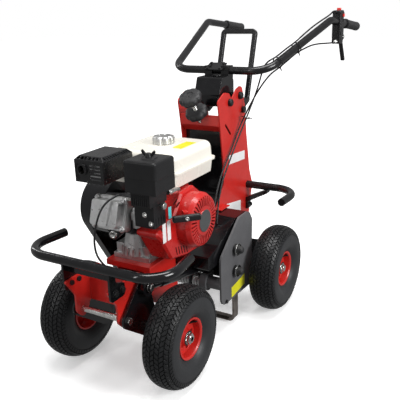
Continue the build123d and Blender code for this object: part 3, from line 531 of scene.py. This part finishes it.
def place_hub_details(node_name, body_name):
    """The bearing's seal and ring on the rim's outer face, and the valve stem."""
    hub = middle(node_name)
    out = X if hub.x > 0 else -X
    details = bmesh.new()
    lathe(details, hub + out * 0.0215, out, HUB_SEAL, 40, slot=0)
    lathe(details, hub + out * 0.0225, out, HUB_RING, 40, slot=1)
    stem = hub + out * 0.006 + Vector((0, 0.030, 0.026))
    direction = (out + Vector((0, 0.35, 0.3))).normalized()
    lathe(details, stem, direction, VALVE_STEM, 16, slot=0)
    name = node_name.replace("tyre", "hub") + "_details"
    add(name, details, [PLASTIC, ZINC], body_name, angle=40)


WHEELS = {"front_tyre_left": "front_wheel_left", "front_tyre_right": "front_wheel_right",
          "rear_tyre_left": "rear_wheel_left", "rear_tyre_right": "rear_wheel_right"}
for number, (node_name, body_name) in enumerate(WHEELS.items()):
    place_tyre(node_name, body_name, math.pi / 2 * number)
    place_hub_details(node_name, body_name)

# ------------------------------------------------------------------ bolts and small metal parts
zinc = bmesh.new()
black = bmesh.new()
for side in (1, -1):
    out = X * side
    for y in (-140, -113):
        hex_head(black, at(side * 76.1, y, 308), out, 13, 8)
    hex_head(black, at(side * 168, 268, 112), out, 9, 6)
for x, y in ((-58, 60), (46, 60), (-58, 222), (46, 222)):
    hex_head(zinc, at(x, y, 322), Z, 10, 7)
add("frame_bolts", black, PLASTIC, "frame", angle=40)
add("engine_base_bolts", zinc, ZINC, "frame", angle=40)

arm_nuts = bmesh.new()
hex_head(arm_nuts, at(104, -33, 284), X, 17, 9)
for side in (1, -1):
    lathe(arm_nuts, at(side * 203, 0, 140), X * side, [(0, 0), (0, 8.2), (1.5, 8.2), (3, 6.5), (3, 0)], 24)
add("front_swing_nuts", arm_nuts, ZINC, "front_swing", angle=40)

# ------------------------------------------------------------------ engine
TILT = math.radians(17)
BORE = Vector((0, -math.cos(TILT), math.sin(TILT)))
BORE_UP = Vector((0, math.sin(TILT), math.cos(TILT)))
CRANK_Y, CRANK_Z = 155, 413
CRANK = at(-5, CRANK_Y, CRANK_Z)


def on_head(distance, across, up):
    """A point in millimetres from the crankshaft: along the bore, across the machine and square to both."""
    return CRANK + BORE * (distance / 1000) + X * (across / 1000) + BORE_UP * (up / 1000)


head = bmesh.new()
for across in (-43, 43):
    for up in (-36, 36):
        lathe(head, on_head(197, across, up), BORE, [(0, 0), (0, 8.5), (5, 8.5), (6.5, 7), (6.5, 0)], 24)
        hex_head(head, on_head(203.4, across, up), BORE, 9, 6)
prism(head, on_head(224, 0, 0), X, BORE_UP, round_rect(58, 42, 9), 2.2)
add("valve_cover_details", head, CAST, "frame", round_mm=0.7)

PLUG, PLUG_OUT = at(4, -30, 417), Vector((0.25, -1, 0.05))
PLUG_BOOT = [(-26, 0), (-26, 15), (2, 15.5), (12, 15.5), (14, 14.5), (14, 0)]
PLUG_FERRULE = [(13, 0), (13, 10.6), (17, 10.6), (19, 9.5), (19.6, 7.5), (19.0, 6.5), (19.0, 0)]
plug = bmesh.new()
lathe(plug, PLUG, PLUG_OUT, PLUG_BOOT, 36, slot=0)
lathe(plug, PLUG, PLUG_OUT, PLUG_FERRULE, 36, slot=1)
add("plug_socket", plug, [PLASTIC, ZINC], "frame")

ROPE_R = 2.6
rope = bmesh.new()
pipe(rope, [at(146 + 6 * i, 86 - 7 * i, 452) for i in range(4)], ROPE_R, 12)
add("starter_rope", rope, RUBBER, "frame",
    bend=("frame", "starter_grip", at(148, 84, 452), at(163, 67, 452)))

RIVET = [(-2, 0), (-2, 5.6), (2.0, 5.6), (2.6, 4.8), (2.6, 2.2), (1.8, 1.6), (1.8, 0)]
handle = bmesh.new()
grip_middle = middle("recoil_handle")
grip_out = Vector((1, -1, 0)).normalized()
grip_along = Vector((1, 1, 0)).normalized()
lathe(handle, grip_middle + grip_out * 0.0065, grip_out, RIVET, 28, slot=1)
prism(handle, grip_middle + grip_out * 0.0062, grip_along, Z, round_rect(56, 11, 3), 1.2, slot=0)
add("starter_handle_rivet", handle, [PLASTIC, ZINC], "starter_grip", round_mm=0.4)

# The recoil ring: a plain hub disc, a near-black disc of painted shade behind its slots, and the shroud's
# vent openings as patches of painted shade
HUB_DISC = [(-3, 0), (-3, 31), (0.2, 31), (0.9, 29.8), (0.9, 27), (0.4, 26.2), (0.4, 0)]
SLOT_SHADE_DISC = [(0, 0), (0, 65), (1, 65), (1, 0)]
hub_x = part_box("recoil_cover")[1].x * 1000
disc = bmesh.new()
lathe(disc, at(hub_x, CRANK_Y, CRANK_Z), X, HUB_DISC, 56, slot=0)
# Painted shade: a near-black disc stands for the dark seen through the recoil cover's slots
lathe(disc, at(hub_x - 16, CRANK_Y, CRANK_Z), X, SLOT_SHADE_DISC, 56, slot=1)
add("hub_disc", disc, [DISC, PAINTED_SHADE], "frame")

vent_shade = bmesh.new()
shroud_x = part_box("fan_shroud")[1].x * 1000
# Painted shade: flat near-black patches on the shroud face stand for the dark inside its vent openings
for i in range(3):
    prism(vent_shade, at(shroud_x, 78 + 13 * i, 484 - 12 * i), Vector((0, 1, 0.55)), Vector((0, -0.55, 1)),
          round_rect(21, 4, 1.8), 0.3)
for i in range(5):
    prism(vent_shade, at(shroud_x, 74 + 13 * i, 346 - 3 * i), Vector((0, 1, 0)), Vector((0, -0.25, 1)),
          round_rect(4, 26, 1.8), 0.3)
add("shroud_vent_shade", vent_shade, PAINTED_SHADE, "frame")

TAP = [(-2, 0), (-2, 7), (4, 8), (6, 8.8), (30, 8.8), (32, 7.4), (46, 7.4), (48, 6), (48, 0)]
fuel = bmesh.new()
lathe(fuel, at(112, 62, 514), Vector((0.05, 1, -0.12)), TAP, 24)
lathe(fuel, at(104, 96, 512), Z, [(-6, 0), (-6, 5), (14, 5), (14, 0)], 18)
add("fuel_tap", fuel, ZINC, "frame", angle=40)

# ------------------------------------------------------------------ air box
low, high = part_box("airbox_cover")
top = Vector(((low.x + high.x) / 2, (low.y + high.y) / 2, high.z))
WING = [(0, 0), (7, -1), (14, 5), (17, 12), (13.5, 15.5), (9, 12), (4, 7), (0, 6)]
wing = bmesh.new()
lathe(wing, top, Z, [(-0.6, 0), (-0.6, 22), (0.8, 22), (1.4, 21), (1.4, 16), (0.4, 15), (0.4, 0)], 36)
lathe(wing, top, Z, [(0, 0), (0, 9), (9, 7.5), (12, 6), (12, 0)], 24)
for side in (1, -1):
    prism(wing, top + Vector((0, 0.002 * side, 0.004)) + X * 0.004 * side, X * side, Z, WING, 4)
add("airbox_wing_nut", wing, PLASTIC, "frame", round_mm=0.8)

fittings = bmesh.new()
for x, z in ((100, 480), (118, 458)):
    hex_head(fittings, at(x, -30, z), -Y, 9, 5)
lathe(fittings, at(128, 0, 500), X, [(-3, 0), (-3, 5), (8, 5), (9, 9), (13, 9), (14, 8), (14, 0)], 28)
for i in range(4):
    prism(fittings, at(127, -20 + 12 * i, 460), Y, Z, round_rect(4, 20, 1.5), 1.2, slot=1)
for i in range(9):
    prism(fittings, at(76 + 6 * i, -46, 522), X, Z, round_rect(2.4, 28, 1), 1.6, slot=1)
add("airbox_fittings", fittings, [ZINC, PLASTIC], "frame", round_mm=0.3)

# ------------------------------------------------------------------ knobs and screw
screw_low, screw_high = middle("lock_knob"), middle("depth_knob")
screw_axis = (screw_high - screw_low).normalized()
for node_name, body_name in (("depth_knob", "depth_wheel"), ("lock_knob", "lock_wheel")):
    knob = bmesh.new()
    upper = node_name == "depth_knob"
    inner = 0.0 if upper else 7.05
    profile = [(-12, inner), (-12, 26), (-10.6, 31.5), (-7.5, 35.2), (-2.5, 36.5), (3, 36.5), (7.5, 35.2),
               (10.6, 31.8), (12, 26), (12.2, 14)]
    profile += [(10.4, 12.5), (10.4, 5), (11.4, 4), (11.4, 0)] if upper else [(11.2, 12), (11.2, inner)]
    if not upper:
        profile += [(-12, inner)]
    lathe(knob, middle(node_name), screw_axis, profile, 128, lobes=8, cut=3.2, turn=0.4)
    add(node_name + "_moulded", knob, KNOB, body_name, angle=38, replaces=(node_name,))

thread = bmesh.new()
PITCH = 1.75
profile = [(-51, 0), (-51, 6)]
for i in range(58):
    profile += [(-50 + PITCH * i, 6.95), (-50 + PITCH * (i + 0.5), 6.1)]
profile += [(52, 6), (52, 0)]
lathe(thread, screw_low, screw_axis, profile, 28)
add("depth_screw_thread", thread, ZINC, "depth_wheel", angle=20, replaces=("depth_screw",))

# ------------------------------------------------------------------ fuel cap
CAP = [(-33, 0), (-33, 18.9), (-22, 18.9), (-21.8, 30), (-20.5, 32), (-6, 32), (-2.6, 30.6), (-0.6, 27.5),
       (0, 24), (-0.3, 20), (-1.3, 18.5), (-1.3, 0)]
cap_top = middle("fuel_cap")
cap_top.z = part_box("fuel_cap")[1].z
cap = bmesh.new()
lathe(cap, cap_top, Z, CAP, 120, lobes=8, cut=6.0)
add("fuel_cap_pressed", cap, BRUSHED, "filler_cap", angle=38, replaces=("fuel_cap",))

# ------------------------------------------------------------------ grips
for side, name in ((1, "left"), (-1, "right")):
    end = at(side * 250, 1250, 870)
    back = (at(side * 245, 943, 905) - end).normalized()
    grip = bmesh.new()
    profile = [(0, 0), (0, 12), (1.2, 15), (4, 16.6), (9, 16.6), (10, 15.4)]
    for i in range(21):
        start = 12 + i * 6
        profile += [(start, 15.2), (start + 0.8, 16.0), (start + 4.0, 16.0), (start + 4.8, 15.2)]
    profile += [(140, 15.4), (141, 17.8), (147, 17.8), (149, 16.6), (149, 12.6), (20, 12.6)]
    lathe(grip, end, back, profile, 40)
    pieces_for = ("grips",) if side > 0 else ()
    add(f"grip_{name}_ribbed", grip, RUBBER, "steering_bar", angle=30, replaces=pieces_for)

# ------------------------------------------------------------------ cables
LOWER = [(247, 1000, 828), (247, 985, 827), (246, 955, 827), (241, 905, 829), (232, 855, 831),
         (222, 808, 829), (212, 765, 820), (203, 729, 812), (192, 677, 791), (181, 626, 771),
         (167, 598, 757), (147, 588, 730), (124, 586, 696), (104, 578, 657), (86, 564, 613),
         (79, 528, 568), (80, 480, 520), (80, 432, 479), (84, 388, 436), (92, 350, 396),
         (98, 325, 362), (99, 316, 331)]
UPPER = [(247, 1000, 930), (247, 986, 934), (245, 966, 934), (243, 940, 923), (232, 885, 907),
         (221, 831, 890), (211, 776, 869), (200, 724, 846), (189, 667, 828), (178, 613, 807),
         (162, 591, 797), (146, 595, 781), (134, 601, 755), (124, 600, 718), (112, 590, 676),
         (100, 571, 629), (92, 540, 582), (90, 500, 543), (90, 455, 499), (92, 408, 457),
         (98, 368, 412), (106, 340, 372), (110, 326, 336)]
THROTTLE = [(30, -34, 526), (18, -54, 520), (6, -80, 502), (0, -98, 466), (-6, -106, 422),
            (-6, -102, 380), (2, -88, 350), (2, -64, 326), (-6, -38, 313), (-12, -26, 302)]
SHEATH_R = 2.6
for name, points, hidden in (("lower", LOWER, ("control_cables",)), ("upper", UPPER, ())):
    sheath = bmesh.new()
    pipe(sheath, smooth_route(points), SHEATH_R, 12)
    add(f"control_cable_{name}", sheath, PLASTIC, "frame", replaces=hidden,
        bend=("frame", "steering_bar", at(112, 590, 676), at(178, 613, 771)))
sheath = bmesh.new()
pipe(sheath, smooth_route(THROTTLE), SHEATH_R, 12)
add("throttle_cable_smooth", sheath, PLASTIC, "frame", replaces=("throttle_cable",))


def cable_tie(bm, centre, axis, r, tail):
    """A strap drawn round a bundle, with its square head and cut tail."""
    u, v = basis(axis)
    turns = [2 * math.pi * i / 28 for i in range(28)]
    ring = [centre + (u * math.cos(a) + v * math.sin(a)) * (r / 1000) for a in turns]
    pipe(bm, ring, 1.6, 8, closed=True)
    head_and_tail = [(-1, 0), (-1, 3.2), (4, 3.2), (4.5, 2), (13, 1.6), (13, 0)]
    lathe(bm, centre + tail * (r / 1000), tail, head_and_tail, 4)


ties = bmesh.new()
arm_start = at(168, 562, 768)
arm = (at(245, 943, 905) - arm_start).normalized()
tail_down = Vector((0.3, 0.35, -0.9)).normalized()
for along in (0.066, 0.180):
    cable_tie(ties, arm_start + arm * along, arm, 17.0, tail_down)
add("bar_cable_ties", ties, PLASTIC, "steering_bar", angle=40)
ties = bmesh.new()
cable_tie(ties, at(91, 567, 618), Vector((0.3, 0.35, 0.88)), 11, Vector((0.9, 0.35, -0.1)).normalized())
add("mast_cable_tie", ties, PLASTIC, "frame", angle=40)

# ------------------------------------------------------------------ switch box
CABLE_NUT = [(0, 0), (0, 7), (4, 7), (5, 5.2), (12, 5.2), (13, 3.6), (16, 3.4), (16, 0)]
CABLE_BOOT = [(0, 0), (0, 6), (3, 6), (10, 4.4), (16, 3.2), (16, 0)]
box = bmesh.new()
lathe(box, at(247, 1003, 828), -Y, CABLE_NUT, 24, slot=1)
lathe(box, at(247, 1003, 930), -Y, CABLE_BOOT, 20, slot=0)
for y, z in ((1007, 926), (1035, 926), (1007, 838), (1035, 900)):
    dome_head(box, at(262.8, y, z), X, 2.6, 2.2)
prism(box, at(262.9, 1021, 868), Y, Z, round_rect(30, 34, 4), 1.6, slot=0)
lathe(box, at(262, 1048, 842), X, [(-4, 0), (-4, 5.5), (0.6, 5.5), (1.2, 4.6), (1.2, 0)], 24, slot=1)
add("switch_box_details", box, [PLASTIC, ZINC], "steering_bar", round_mm=0.5)

# ------------------------------------------------------------------ plain stickers
STICKER_THICK = 0.4
SHROUD_SIDE_X = 122.0
CHEEK_SIDE_X = 72
CHEEK_INSIDE_X = 67.2
sticker = bmesh.new()
side_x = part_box("blade_plate_left")[1].x
prism(sticker, at(side_x * 1000, 0, 0), Y, Z, [(304, 108), (396, 116), (396, 150), (304, 142)], STICKER_THICK)
add("side_plate_sticker", sticker, YELLOW, "cutter", angle=40)

sticker = bmesh.new()
for outline in ([(466, 296), (569, 280), (569, 333), (466, 350)],
                [(486, 478), (602, 470), (602, 500), (486, 508)]):
    prism(sticker, at(CHEEK_SIDE_X, 0, 0), Y, Z, outline, STICKER_THICK)
add("mast_foot_sticker", sticker, WHITE, "frame", angle=40)

sticker = bmesh.new()
prism(sticker, at(SHROUD_SIDE_X, 0, 0), Y, Z, [(43, 447), (57, 447), (57, 479), (43, 479)], STICKER_THICK)
add("shroud_cyan_sticker", sticker, CYAN, "frame", angle=40)
sticker = bmesh.new()
for y in (12, 34):
    outline = [(y, 390), (y + 16, 390), (y + 16, 444), (y, 444)]
    prism(sticker, at(SHROUD_SIDE_X, 0, 0), Y, Z, outline, STICKER_THICK)
add("shroud_white_stickers", sticker, WHITE, "frame", angle=40)

tank_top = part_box("fuel_tank")[1].z
sticker = bmesh.new()
prism(sticker, at(0, 0, tank_top * 1000), X, Y, [(52, 180), (84, 180), (84, 262), (52, 262)], STICKER_THICK)
add("tank_sticker", sticker, YELLOW, "frame", angle=40)

SLOT_ALONG, SLOT_ACROSS = Vector((0, 0.69, -0.73)), Vector((0, 0.73, 0.69))
# Painted shade: near-black sheets inside the mast cheeks stand for the dark seen through their slots
shade_sheet = bmesh.new()
for side in (1, -1):
    behind = at(side * CHEEK_INSIDE_X, 484, 592)
    prism(shade_sheet, behind, SLOT_ALONG, SLOT_ACROSS, round_rect(62, 16, 6), 0.6)
add("mast_slot_shade_sheet", shade_sheet, PAINTED_SHADE, "frame")

# ------------------------------------------------------------------ floor, light, camera
FLOOR_REACH = 14.0
bm = bmesh.new()
bmesh.ops.create_grid(bm, x_segments=8, y_segments=8, size=FLOOR_REACH)
floor_mesh = bpy.data.meshes.new("floor")
bm.to_mesh(floor_mesh)
bm.free()
floor_mesh.materials.append(FLOOR)
floor = bpy.data.objects.new("floor", floor_mesh)
bpy.context.scene.collection.objects.link(floor)
floor.visible_glossy = False
floor.visible_diffuse = False

# The world lights the machine softly and is plain white where the camera sees it
WORLD_FILL, WORLD_SEEN = 0.30, 1.0
world = bpy.data.worlds.new("studio")
bpy.context.scene.world = world
world.use_nodes = True
background = world.node_tree.nodes["Background"]
background.inputs["Color"].default_value = (1, 1, 1, 1)
path = world.node_tree.nodes.new("ShaderNodeLightPath")
strength = world.node_tree.nodes.new("ShaderNodeMapRange")
strength.inputs["To Min"].default_value = WORLD_FILL
strength.inputs["To Max"].default_value = WORLD_SEEN
world.node_tree.links.new(path.outputs["Is Camera Ray"], strength.inputs["Value"])
world.node_tree.links.new(strength.outputs["Result"], background.inputs["Strength"])


def softbox(name, place, target, width, height, power):
    """A rectangular lamp, in metres and watts, aimed at a target."""
    light = bpy.data.lights.new(name, "AREA")
    light.shape = "RECTANGLE"
    light.size, light.size_y = width, height
    light.energy = power
    lamp = bpy.data.objects.new(name, light)
    lamp.location = place
    lamp.rotation_euler = (Vector(target) - Vector(place)).to_track_quat("-Z", "Y").to_euler()
    bpy.context.scene.collection.objects.link(lamp)


softbox("top_softbox", (0.3, -0.2, 3.2), (0, 0, 0.4), 2.2, 1.3, 78)
softbox("right_softbox", (3.4, -0.4, 1.8), (0, 0, 0.45), 1.5, 1.5, 105)
softbox("front_strip", (-0.9, -3.4, 2.1), (0, 0, 0.5), 0.3, 1.9, 20)
softbox("left_strip", (-3.0, 0.2, 2.0), (0, 0, 0.5), 0.2, 2.4, 16)

AZIMUTH, ELEVATION, ROLL = math.radians(30.2), math.radians(18.5), math.radians(-1.8)
CAMERA_PLACE = at(912.4, -1150.7, 975.7)
SENSOR_MM, LENS_MM = 36, 53.01
level = math.cos(ELEVATION)
back = Vector((math.sin(AZIMUTH) * level, -math.cos(AZIMUTH) * level, math.sin(ELEVATION)))
right = (-back).cross(Z).normalized()
up = right.cross(-back)
rolled_right = right * math.cos(ROLL) + up * math.sin(ROLL)
rolled_up = up * math.cos(ROLL) - right * math.sin(ROLL)
camera_data = bpy.data.cameras.new("camera")
camera_data.sensor_width = SENSOR_MM
camera_data.lens = LENS_MM
camera_data.clip_start, camera_data.clip_end = 0.05, 100
camera = bpy.data.objects.new("camera", camera_data)
turned = Matrix((rolled_right, rolled_up, back)).transposed().to_4x4()
camera.matrix_world = Matrix.Translation(CAMERA_PLACE) @ turned
bpy.context.scene.collection.objects.link(camera)
bpy.context.scene.camera = camera
bpy.context.scene.view_settings.view_transform = "Standard"

bpy.context.view_layer.update()
